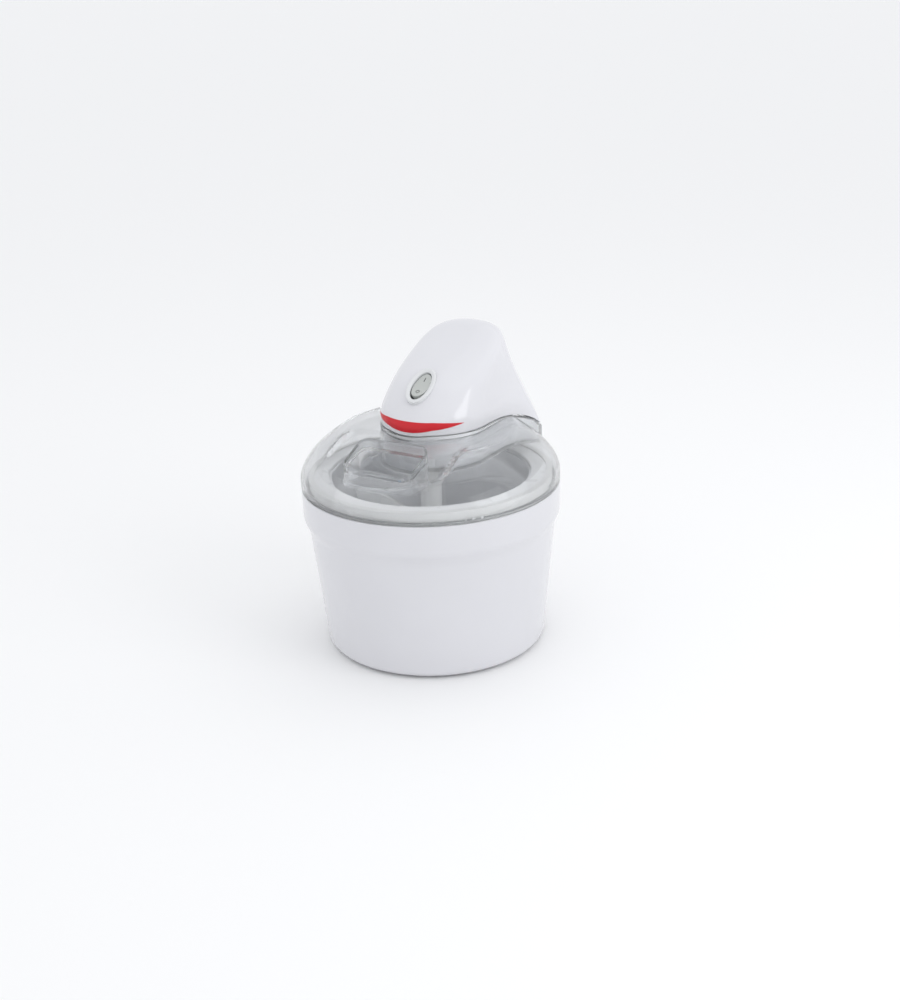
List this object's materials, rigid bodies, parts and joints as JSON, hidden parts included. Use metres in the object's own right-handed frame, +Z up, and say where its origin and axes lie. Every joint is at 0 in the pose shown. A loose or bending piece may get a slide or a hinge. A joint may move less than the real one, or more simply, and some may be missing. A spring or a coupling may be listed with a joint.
{
  "type": "ice cream maker",
  "caption": "Freezer-bowl ice cream maker: round white tub, clear domed lid with filling chute, turning paddle and lift-off motor unit with rocker switch.",
  "frame": {"origin": "on the table under the middle of the housing", "axes": "+Z up; -Y is the front, where the filling chute and the switch face"},
  "size_m": [0.219, 0.219, 0.2628],
  "materials": {
    "housing_plastic": "polished white",
    "foot_rubber": "matt grey",
    "bowl_plastic": "satin white",
    "liner_metal": "fine satin",
    "coolant_gel": "clear blue gel",
    "plug_plastic": "plain",
    "seal_silicone": "matt white silicone",
    "clear_plastic": "clear moulded plastic",
    "bush_plastic": "waxy white",
    "paddle_plastic": "satin white",
    "shaft_steel": "turned",
    "cover_plastic": "polished white",
    "tray_plastic": "satin white",
    "accent_red": "polished red",
    "screw_steel": "zinc plated",
    "bezel_grey": "satin light grey",
    "switch_black": "plain",
    "brass": "stamped",
    "rocker_silver": "silver grey",
    "gearbox_plastic": "plain",
    "bush_bronze": "sintered bronze",
    "motor_steel": "plated sheet",
    "copper_coil": "enamelled copper wire",
    "magnet_grey": "ferrite",
    "gear_plastic": "natural acetal"
  },
  "bodies": {
    "housing": {"housing": "housing_plastic", "housing_feet": "foot_rubber"},
    "bowl": {"bowl_shell": "bowl_plastic", "bowl_liner": "liner_metal", "coolant": "coolant_gel", "bowl_plug": "plug_plastic"},
    "lid_seal": {"lid_seal": "seal_silicone"},
    "lid": {"lid": "clear_plastic", "shaft_bush": "bush_plastic"},
    "paddle": {"paddle": "paddle_plastic", "paddle_shaft": "shaft_steel"},
    "motor_unit": {"motor_cover": "cover_plastic", "motor_tray": "tray_plastic", "accent_strip": "accent_red", "cover_screws": "screw_steel", "switch_bezel": "bezel_grey", "switch_body": "switch_black", "switch_terminals": "brass", "rocker_pin": "shaft_steel", "cord_bush": "bush_plastic", "cord_clamp": "gearbox_plastic", "clamp_screws": "screw_steel", "gearbox_tray": "gearbox_plastic", "gearbox_lid": "gearbox_plastic", "gearbox_screws": "screw_steel", "idler_axle": "shaft_steel", "output_bushes": "bush_bronze", "motor_can": "motor_steel", "stator_coil": "copper_coil", "motor_bushes": "bush_bronze", "motor_screws": "screw_steel"},
    "rocker": {"switch_rocker": "rocker_silver"},
    "rotor": {"rotor_magnet": "magnet_grey", "rotor_shaft": "shaft_steel", "motor_pinion": "brass"},
    "idler": {"idler_gear": "gear_plastic"},
    "output": {"output_gear": "gear_plastic", "drive_socket": "shaft_steel"}
  },
  "joints": [
    {"name": "bowl_lift", "type": "slide", "parent": "housing", "child": "bowl", "axis": [0, 0, 1], "range_m": [0, 0.16]},
    {"name": "lid_lift", "type": "slide", "parent": "bowl", "child": "lid_seal", "axis": [0, 0, 1], "range_m": [0, 0.15]},
    {"name": "lid_turn", "type": "hinge", "parent": "lid_seal", "child": "lid", "pos_m": [0, 0, 0.142], "axis": [0, 0, 1], "range_deg": [0, 15]},
    {"name": "motor_lift", "type": "slide", "parent": "lid", "child": "motor_unit", "axis": [0, 0, 1], "range_m": [0, 0.08]},
    {"name": "paddle_spin", "type": "hinge", "parent": "lid", "child": "paddle", "pos_m": [0, 0, 0.09], "axis": [0, 0, 1], "continuous": true},
    {"name": "output_spin", "type": "hinge", "parent": "motor_unit", "child": "output", "pos_m": [0, 0, 0.18], "axis": [0, 0, 1], "continuous": true},
    {"name": "idler_spin", "type": "hinge", "parent": "motor_unit", "child": "idler", "pos_m": [0, 0.0312, 0.18], "axis": [0, 0, 1], "continuous": true},
    {"name": "rotor_spin", "type": "hinge", "parent": "motor_unit", "child": "rotor", "pos_m": [0, 0.06, 0.2], "axis": [0, 0, 1], "continuous": true},
    {"name": "switch_rock", "type": "hinge", "parent": "motor_unit", "child": "rocker", "pos_m": [0, -0.00424, 0.21913], "axis": [1, 0, 0], "range_deg": [0, 12]}
  ],
  "couplings": [
    {"joint": "output_spin", "follows": "paddle_spin", "ratio": 1},
    {"joint": "idler_spin", "follows": "paddle_spin", "ratio": -3.3333},
    {"joint": "rotor_spin", "follows": "paddle_spin", "ratio": 10}
  ]
}
